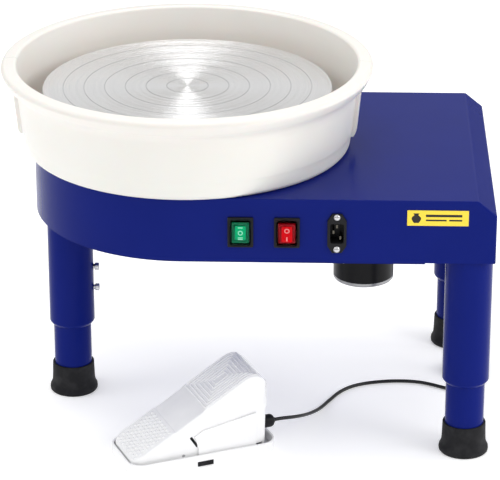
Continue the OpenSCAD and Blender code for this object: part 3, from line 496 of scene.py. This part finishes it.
def rounded(node, width=0.0, choose=None, steps=3, corner=28, smooth=32, finish=None):
    """A smooth copy that stands for a part, with the chosen outward edges rounded.

    choose takes an edge's middle, in millimetres from the axle, and its length. corner and smooth
    are the angles in degrees above which an edge may be rounded, and above which it stays sharp.
    """
    piece = linked(node + "_finished", nodes[node].data.copy())
    shape = bmesh.new()
    shape.from_mesh(piece.data)
    bmesh.ops.remove_doubles(shape, verts=shape.verts, dist=2e-6)
    bmesh.ops.dissolve_limit(shape, angle_limit=math.radians(0.2), verts=shape.verts, edges=shape.edges)
    weight = shape.edges.layers.float.new("bevel_weight_edge")
    count = 0
    for edge in shape.edges:
        if not width or len(edge.link_faces) != 2 or not edge.is_convex:
            continue
        if edge.calc_face_angle() > math.radians(corner):
            middle = ((edge.verts[0].co + edge.verts[1].co) / 2 - axle) / MM
            if choose is None or choose(middle, edge.calc_length() / MM):
                edge[weight] = 1
                count += 1
    shape.to_mesh(piece.data)
    shape.free()
    for face in piece.data.polygons:
        face.use_smooth = True
    piece.data.set_sharp_from_angle(angle=math.radians(smooth))
    if count:
        bevel = piece.modifiers.new("round", "BEVEL")
        bevel.limit_method, bevel.width, bevel.segments = "WEIGHT", width * MM, steps
        bevel.use_clamp_overlap = False
    even = piece.modifiers.new("even", "WEIGHTED_NORMAL")
    even.keep_sharp = True
    baked(piece)
    wear(piece, node, finish)
    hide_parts(node)
    print(piece.name, len(piece.data.polygons), "faces,", count, "edges rounded")
    return piece


# %% [markdown]
# ## The body and the legs
# On the sheet-steel body the outer folds are rounded, but not the cut-outs for the switches or the
# small screw holes. The rule asks where an edge is and how long it is.

# %% Body, plates and legs
body_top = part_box("body_shell")[1].z / MM
slope_start, slope_end = 344, 366.5  # from the axle to just before both ends of the right slope
body_side = 185.5  # from the axle to just before the front and rear faces
under_body = 250  # height just below the shell's lower edge


def outer_fold(middle, length):
    on_top = middle.z > body_top - 0.3 and length > 4
    on_right = middle.x > slope_start and length > 10 and middle.z > under_body
    return on_top or (on_right and (middle.x > slope_end or abs(middle.y) > body_side))


rounded("body_shell", 1.6, outer_fold)
for leg in ("left", "right_front", "right_rear"):
    rounded(leg + "_leg_tube", 0.8, lambda middle, length: middle.z < 100 and length > 1)
    rounded(leg + "_leg_slide")
    rounded(leg + "_foot", corner=60)
    for level in ("upper", "lower"):
        rounded(f"{leg}_{level}_screw", 0.5, lambda middle, length: length > 0.3)

# %% [markdown]
# ## The wheel head, the basin and the motor
# These are turned shapes. Their copies only need smooth shading, and a small radius where the
# rim, the straps and the seam have edges.

# %% Turned parts
beside_seam = 3
above_foot, at_collar_top = 352, 370  # heights over the floor


def basin_edge(middle, length):
    return abs(middle.y) > beside_seam and length > 5 and middle.z > above_foot


rounded("wheel_head", finish=turned)
for half in ("front", "rear"):
    rounded("basin_" + half, 0.7, basin_edge, corner=50)
    rounded(f"basin_{half}_floor", 0.6, lambda middle, length: middle.z > at_collar_top, corner=50)
rounded("motor_can")
rounded("motor_end_ring")

# %% [markdown]
# ## The pedal
# The treadle is a hollow wedge with soft edges. Its long top edges and the rim of its base are
# rounded more than anything else on the machine. The edges of the slot in each side, of the notch
# for the cord's gland and of the open lower rim stay crisp. The spring under the treadle gets a
# mesh of its own.

# %% Treadle and base
pedal_turn = 24  # degrees from the machine's own x axis
pedal_place = Matrix.Translation(at(12.1, -168.5, 0))
pedal_frame = pedal_place @ Matrix.Rotation(math.radians(pedal_turn), 4, "Z")
to_pedal = pedal_frame.inverted()
# Millimetres in the pedal's own frame
slot_x, slot_z, slot_half_long, slot_half_high = -11, 30, 11, 12
skirt_y = 35
notch_x, notch_near_y, notch_far_y, notch_top = 84, -34, -12, 60
base_rim = 14


def treadle_edge(middle, length):
    place = to_pedal @ (axle + middle * MM) / MM
    in_slot = abs(place.x - slot_x) < slot_half_long and abs(place.z - slot_z) < slot_half_high
    by_slot = in_slot and length > 1 and abs(place.y) > skirt_y
    by_notch = place.x > notch_x and notch_near_y < place.y < notch_far_y and place.z < notch_top
    return length > 1.2 and not by_slot and not by_notch and place.z > base_rim + 0.5


rounded("treadle", 2.0, treadle_edge, steps=4)
rounded("pedal_base", 1.2, lambda middle, length: abs(middle.z - base_rim) < 0.5 and length > 1.2)
rounded("pedal_gland")
spring = rounded("pedal_spring")
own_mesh(spring)
rounded("pedal_feet", 0.6, lambda middle, length: True)

# %% [markdown]
# One end of the tread is covered with little domes, and the other has ridges in nested
# rectangles. Both repeat by a rule, so Geometry Nodes make them. The helper below turns a tree into
# a plain mesh on one body. The first tree puts a dome on each point of a grid. A second grid with
# one row and one column fewer falls in the gaps of the first.

# %% Growing repeated details
def grow(name, build, body, slot, finish, place, **sizes):
    """Runs a Geometry Nodes tree with these sizes and leaves a plain mesh at its place."""
    tree = bpy.data.node_groups.new(name, "GeometryNodeTree")
    tree.interface.new_socket(name="Geometry", in_out="OUTPUT", socket_type="NodeSocketGeometry")
    for key, value in sizes.items():
        kind = "NodeSocketInt" if isinstance(value, int) else "NodeSocketFloat"
        tree.interface.new_socket(name=key, in_out="INPUT", socket_type=kind)
    tree.interface.new_socket(name="finish", in_out="INPUT", socket_type="NodeSocketMaterial")
    net = Net(tree)
    given = net.node("NodeGroupInput", out="finish")
    shapes = build(net, {key: given.other(key) for key in sizes})
    real = net.node("GeometryNodeRealizeInstances", None, {0: shapes})
    painted = net.node("GeometryNodeSetMaterial", None, {"Geometry": real, "Material": given})
    tree.links.new(painted.socket, tree.nodes.new("NodeGroupOutput").inputs[0])
    piece = linked(name, bpy.data.meshes.new(name))
    modifier = piece.modifiers.new("grow", "NODES")
    modifier.node_group = tree
    for item in tree.interface.items_tree:
        if item.in_out == "INPUT":
            modifier[item.identifier] = finish.material if item.name == "finish" else sizes[item.name]
    baked(piece)
    piece.data.transform(place)
    for face in piece.data.polygons:
        face.use_smooth = True
    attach(piece, body)
    print(name, len(piece.data.polygons), "faces")
    return piece


# %% Domes
tread_slope = math.atan(0.585)  # height gained for each step along the tread
tread_foot = Matrix.Translation(Vector((-90, 0, 16)) * MM)
tread_frame = pedal_frame @ tread_foot @ Matrix.Rotation(-tread_slope, 4, "Y")


def dome_grid(net, size):
    both = net.tree.nodes.new("GeometryNodeJoinGeometry")
    for fewer in (0, 1):
        grid = net.node("GeometryNodeMeshGrid", None, {
            "Size X": size["pitch"] * (size["columns"] - (1 + fewer)),
            "Size Y": size["pitch"] * (size["rows"] - (1 + fewer)),
            "Vertices X": size["columns"] - fewer, "Vertices Y": size["rows"] - fewer})
        net.tree.links.new(grid.socket, both.inputs[0])
    dome = net.node("GeometryNodeMeshIcoSphere", None, {"Radius": size["radius"], "Subdivisions": 2})
    flat = net.node("ShaderNodeCombineXYZ", None, {0: 1.0, 1: 1.0, 2: size["flatness"]})
    return net.node("GeometryNodeInstanceOnPoints", None, {
        "Points": Signal(net, both.outputs[0]), "Instance": dome, "Scale": flat})


grow("treadle_domes", dome_grid, "treadle", "white_plastic", white_plastic,
     tread_frame @ Matrix.Translation(Vector((30.5, 0, 0)) * MM),
     pitch=8.4 * MM, columns=7, rows=8, radius=2.35 * MM, flatness=0.42)

# %% [markdown]
# For the ridges the second tree draws one rectangle, copies it at smaller and smaller sizes
# about the same middle, bends what reaches past the nose down over it, and sweeps a round bead
# along all of them.

# %% Ridges
def nested_ridges(net, size):
    row = net.node("GeometryNodePoints", None, {"Count": size["count"], "Radius": 0.001})
    sharp = net.node("GeometryNodeCurvePrimitiveQuadrilateral", None, {
        "Width": size["long"], "Height": size["wide"]})
    outline = net.node("GeometryNodeSubdivideCurve", None, {"Curve": sharp, "Cuts": 24})
    index = net.node("GeometryNodeInputIndex")
    shrink_x = 1 - index * (2 * size["step"]) / size["long"]
    shrink_y = 1 - index * (2 * size["step"]) / size["wide"]
    scale = net.node("ShaderNodeCombineXYZ", None, {0: shrink_x, 1: shrink_y, 2: 1.0})
    copies = net.node("GeometryNodeInstanceOnPoints", None, {
        "Points": row, "Instance": outline, "Scale": scale})
    flat_loops = net.node("GeometryNodeRealizeInstances", None, {0: copies})
    split = net.node("ShaderNodeSeparateXYZ", None, {0: net.node("GeometryNodeInputPosition")})
    over = net.node("ShaderNodeMath", {"operation": "MAXIMUM"}, {0: split - size["bend_from"], 1: 0.0})
    angle = over / size["bend_radius"]
    sine = net.node("ShaderNodeMath", {"operation": "SINE"}, {0: angle})
    cosine = net.node("ShaderNodeMath", {"operation": "COSINE"}, {0: angle})
    bent = net.node("ShaderNodeCombineXYZ", None, {
        0: split - over + sine * size["bend_radius"], 1: split.other("Y"),
        2: (cosine - 1) * size["bend_radius"]})
    loops = net.node("GeometryNodeSetPosition", None, {"Geometry": flat_loops, "Position": bent})
    bead = net.node("GeometryNodeCurvePrimitiveCircle", None, {"Resolution": 8, "Radius": size["bead"]})
    return net.node("GeometryNodeCurveToMesh", None, {"Curve": loops, "Profile Curve": bead})


grow("treadle_ridges", nested_ridges, "treadle", "white_plastic", white_plastic,
     tread_frame @ Matrix.Translation(Vector((145.5, 0, -0.2)) * MM),
     count=7, long=75 * MM, wide=67 * MM, step=4.7 * MM, bead=1.1 * MM,
     bend_from=21.2 * MM, bend_radius=20.5 * MM)

# %% [markdown]
# ## Switches, inlet and label
# The two rocker switches sit behind clear caps. Their bezels and the inlet's flange are moulded,
# so they get a fine radius. Each rocker carries a slightly raised lens of brighter plastic, and
# the signs stand on the lens as thin raised ink. Lens and sign tip with their rocker.

# %% Panel parts
panel_front, cap_front = -186.4, -192.5  # just in front of the sheet, and just behind the caps' faces
for part in ("green_switch_body", "red_switch_body", "inlet_body"):
    rounded(part, 0.5, lambda middle, length: middle.y < panel_front and length > 0.6)
for part in ("green_rocker", "red_rocker"):
    rounded(part, 0.5, lambda middle, length: length > 1)
for part, tint in (("green_switch_cap", green_bounce_cap), ("red_switch_cap", red_bounce_cap)):
    rounded(part, 0.8, lambda middle, length: middle.y < cap_front, corner=40, finish=tint)
rounded("inlet_screws")
rounded("name_plate", 0.2, lambda middle, length: True)


# %% Pieces made from outlines
def settled(name, shape, place, body, finish):
    """Turns a shape into a piece at its place, on one body and with its finish."""
    bmesh.ops.recalc_face_normals(shape, faces=shape.faces)
    mesh = bpy.data.meshes.new(name)
    shape.to_mesh(mesh)
    shape.free()
    mesh.transform(place)
    mesh.materials.append(finish.material)
    piece = linked(name, mesh)
    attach(piece, body)
    return piece


sunk = 0.05  # mm that a raised shape reaches into the surface below it


def raised(name, outlines, place, body, finish, height=0.12):
    """Thin flat shapes, each an outline in millimetres, raised from a surface along local z."""
    shape = bmesh.new()
    for outline in outlines:
        face = shape.faces.new([shape.verts.new((x * MM, y * MM, -sunk * MM)) for x, y in outline])
        lifted = bmesh.ops.extrude_face_region(shape, geom=[face])["geom"]
        bmesh.ops.translate(shape, vec=(0, 0, (height + sunk) * MM),
                            verts=[part for part in lifted if isinstance(part, bmesh.types.BMVert)])
    return settled(name, shape, place, body, finish)


def bar(x0, y0, x1, y1):
    return [(x0, y0), (x1, y0), (x1, y1), (x0, y1)]


def ring(cx, cy, r, w, n=24):
    """A ring as short wedges, so that each is a simple outline."""
    turn = [math.tau * k / n for k in range(n + 1)]
    return [[(cx + q * math.cos(t), cy + q * math.sin(t)) for q, t in
             ((r, a), (r + w, a), (r + w, b), (r, b))] for a, b in zip(turn, turn[1:])]


# Millimetres from the axle, and degrees
green_x, red_x = 70, 124
pivot_y, pivot_z = -182, 293
face_out = 7.6
middle_place, on_place = 0, 8
upright = Matrix.Rotation(math.radians(90), 4, "X")


def on_rocker(x, tilt):
    """From a rocker's face, seen from the front, to the frame."""
    pivot = Matrix.Translation(at(x, pivot_y, pivot_z)) @ Matrix.Rotation(math.radians(tilt), 4, "X")
    return pivot @ Matrix.Translation(Vector((0, -face_out, 0)) * MM) @ upright


def soft_plate(half_wide, half_high, corner=1.2):
    """A rectangle with small round corners."""
    points = []
    for sx, sy, first in ((1, 1, 0), (-1, 1, 90), (-1, -1, 180), (1, -1, 270)):
        for k in range(5):
            a = math.radians(first + 22.5 * k)
            points.append((sx * (half_wide - corner) + corner * math.cos(a),
                           sy * (half_high - corner) + corner * math.sin(a)))
    return points


green_face, red_face = on_rocker(green_x, middle_place), on_rocker(red_x, on_place)
lens_height = 0.35
on_lens = Matrix.Translation((0, 0, lens_height * MM))
raised("green_rocker_lens", [soft_plate(6.2, 8.6)], green_face,
       "direction_rocker", green_lens, lens_height)
raised("red_rocker_lens", [soft_plate(6.2, 10.4)], red_face,
       "power_rocker", red_lens, lens_height)
three_places = [bar(-2.8, 6.0, 2.8, 7.1), *ring(0, 0, 1.9, 1.0), bar(-2.8, -6.5, 2.8, -5.4),
                bar(-2.8, -8.4, 2.8, -7.3)]
off_and_on = [*ring(0, 4.6, 2.0, 1.1), bar(-0.7, -9.0, 0.7, -3.6)]
raised("green_rocker_signs", three_places, green_face @ on_lens,
       "direction_rocker", white_ink)
raised("red_rocker_signs", off_and_on, red_face @ on_lens,
       "power_rocker", white_ink)

# %% [markdown]
# The yellow label keeps its place and colour, and carries a plain drawing of a pot and three
# bars in place of any wording.

# %% Label
def pot_outline(x, y, size):
    half = [(0.30, 0.5), (0.22, 0.38), (0.20, 0.30), (0.42, 0.10), (0.46, -0.08), (0.36, -0.32),
            (0.22, -0.5)]
    right = [(x + size * u, y + size * v) for u, v in half]
    left = [(x - size * u, y + size * v) for u, v in reversed(half)]
    return right + left


label_low, label_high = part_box("name_plate")
label_middle = Vector(((label_low.x + label_high.x) / 2, label_low.y, (label_low.z + label_high.z) / 2))
print_shapes = [pot_outline(-25, 0, 12), bar(-14, 1.5, 28, 4.6), bar(-14, -3.6, 10, -1.6),
                bar(13, -3.6, 28, -1.6)]
raised("label_print", print_shapes, Matrix.Translation(label_middle) @ upright,
       "frame", ink, 0.05)

# %% [markdown]
# ## Finishing the cord
# The cable takes its finish and rides on the frame, and the frame's own three cord parts are
# hidden. A small tie keeps the coil together: a flat band swept round the wound turns.

# %% Cord and tie
cord.data.materials.append(cable.material)
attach(cord, "frame")
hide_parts("cord_run", "cord_coil", "cord_riser")


around = 32  # points round the band
squareness = 5  # 2 is an ellipse, and more has squarer corners


def band_round(name, centre_angle, low, high, r0, r1, width, thick):
    """A band round the coil's cross-section, at one angle of the coil."""
    middle_r, middle_z = (r0 + r1) / 2, (low + high) / 2
    half_r, half_z = (r1 - r0) / 2, (high - low) / 2
    coil_middle = Matrix.Translation(at(coil_x, coil_y, 0))
    turn = coil_middle @ Matrix.Rotation(math.radians(centre_angle), 4, "Z")
    shape = bmesh.new()
    rings = []
    for side in (-width / 2, width / 2):
        for extra in (0, thick):
            loop = []
            for k in range(around):
                a = math.tau * k / around
                c, s = math.cos(a), math.sin(a)
                reach = (abs(c) ** squareness + abs(s) ** squareness) ** (-1 / squareness)
                loop.append(shape.verts.new((
                    (middle_r + (half_r + extra) * c * reach) * MM, side * MM,
                    (middle_z + (half_z + extra) * s * reach) * MM)))
            rings.append(loop)
    inner_a, outer_a, inner_b, outer_b = rings
    for one, two in ((inner_a, inner_b), (outer_b, outer_a), (outer_a, inner_a), (inner_b, outer_b)):
        for k in range(around):
            shape.faces.new((one[k], one[k - 1], two[k - 1], two[k]))
    piece = settled(name, shape, turn, "frame", black_plastic)
    for face in piece.data.polygons:
        face.use_smooth = True
    piece.data.set_sharp_from_angle(angle=math.radians(40))
    return piece


half_cable = 2.3  # a hair more than half its thickness, so that the band doesn't cut into it
tie = band_round("coil_tie", 80, 0.75, 13.6, inner - half_cable, outer + half_cable, 5, 0.6)

# %% [markdown]
# ## Floor and light
# A pale floor runs on past every edge of the view, and the light comes from large soft panels:
# a key over the left shoulder, a soft one at the left for the round end, a broad one overhead, a
# fill and a narrow strip at the right that draws a bright line down the legs. The strip behind
# stands in the upright plane of the camera and the wheel's axis, so the turned rings send it back
# as one fan in front and one behind. The room itself is white overhead and dims to grey at the
# horizon. The floor glows a little, to stay white, but only as far as the camera sees it, and dims
# farther off. Both give the glossy blue something dark to reflect.

# %% Floor
reach = 12  # metres from the middle to each edge
fade_from, fade_to = 3.2, 5.2  # metres from the middle
floor_corners = [(-reach, -reach, 0), (reach, -reach, 0), (reach, reach, 0), (-reach, reach, 0)]
floor_mesh = bpy.data.meshes.new("floor")
floor_mesh.from_pydata(floor_corners, [], [(0, 1, 2, 3)])
floor_mesh.transform(Matrix.Translation((0, 0, -0.0004)))
floor = linked("floor", floor_mesh)
paper = Finish("white_paper_floor", (0.9, 0.9, 0.9), 0.9, Specular_IOR_Level=0.0,
               Emission_Color=(1, 1, 1, 1), Emission_Strength=0.33)
paper.set("Roughness", 0.88 + paper.noise(400, 2) * 0.08)
away = paper.node("ShaderNodeVectorMath", {"operation": "LENGTH"}, {0: paper.place()}, out="Value")
distant = paper.node("ShaderNodeMapRange", {"interpolation_type": "SMOOTHSTEP"}, {
    "Value": away, "From Min": fade_from, "From Max": fade_to, "To Min": 0.0, "To Max": 1.0})
paper.set("Base Color", paper.blend(distant, (0.9, 0.9, 0.9), (0.36, 0.36, 0.37)))
paper.set("Emission Color", paper.blend(distant, (1, 1, 1), (0, 0, 0)))
floor_mesh.materials.append(paper.material)

# %% Lights
world = bpy.data.worlds.new("studio")
world.use_nodes = True
sky = Net(world.node_tree)
direction = sky.node("ShaderNodeTexCoord", out="Generated")
upwards = sky.node("ShaderNodeSeparateXYZ", None, {0: direction}, out=2)
brightness = sky.node("ShaderNodeMapRange", {"interpolation_type": "SMOOTHSTEP"}, {
    "Value": upwards, "From Min": 0.04, "From Max": 0.28, "To Min": 0.16, "To Max": 0.78})
room = world.node_tree.nodes["Background"]
sky.join(room.inputs["Color"], (1, 1, 1, 1))
sky.join(room.inputs["Strength"], brightness)
bpy.context.scene.world = world
bpy.context.scene.view_settings.view_transform = "Standard"


def panel(name, place, aim, width, height, power):
    """A soft rectangular lamp of so many metres and watts, turned to what it lights."""
    light = bpy.data.lights.new(name, "AREA")
    light.shape, light.size, light.size_y, light.energy = "RECTANGLE", width, height, power
    lamp = linked(name, light)
    lamp.location = place
    lamp.rotation_euler = (Vector(aim) - Vector(place)).to_track_quat("-Z", "Y").to_euler()


panel("key", (-1.1, -2.6, 2.2), (0, 0, 0.2), 1.4, 1.4, 6)
panel("left_soft", (-2.3, -0.4, 1.9), (0, 0, 0.2), 1.4, 1.4, 11)
panel("overhead", (0.0, 0.3, 2.9), (0, 0, 0.3), 2.4, 2.0, 22)
panel("fan_strip", (-0.175, 1.9, 2.7), (-0.072, 0, 0.4), 0.36, 1.2, 4.2)
panel("right_fill", (2.4, -1.2, 1.7), (0.1, 0, 0.2), 1.2, 1.4, 22)
panel("right_strip", (2.4, 0.2, 0.7), (0.3, 0, 0.2), 0.4, 1.2, 8)
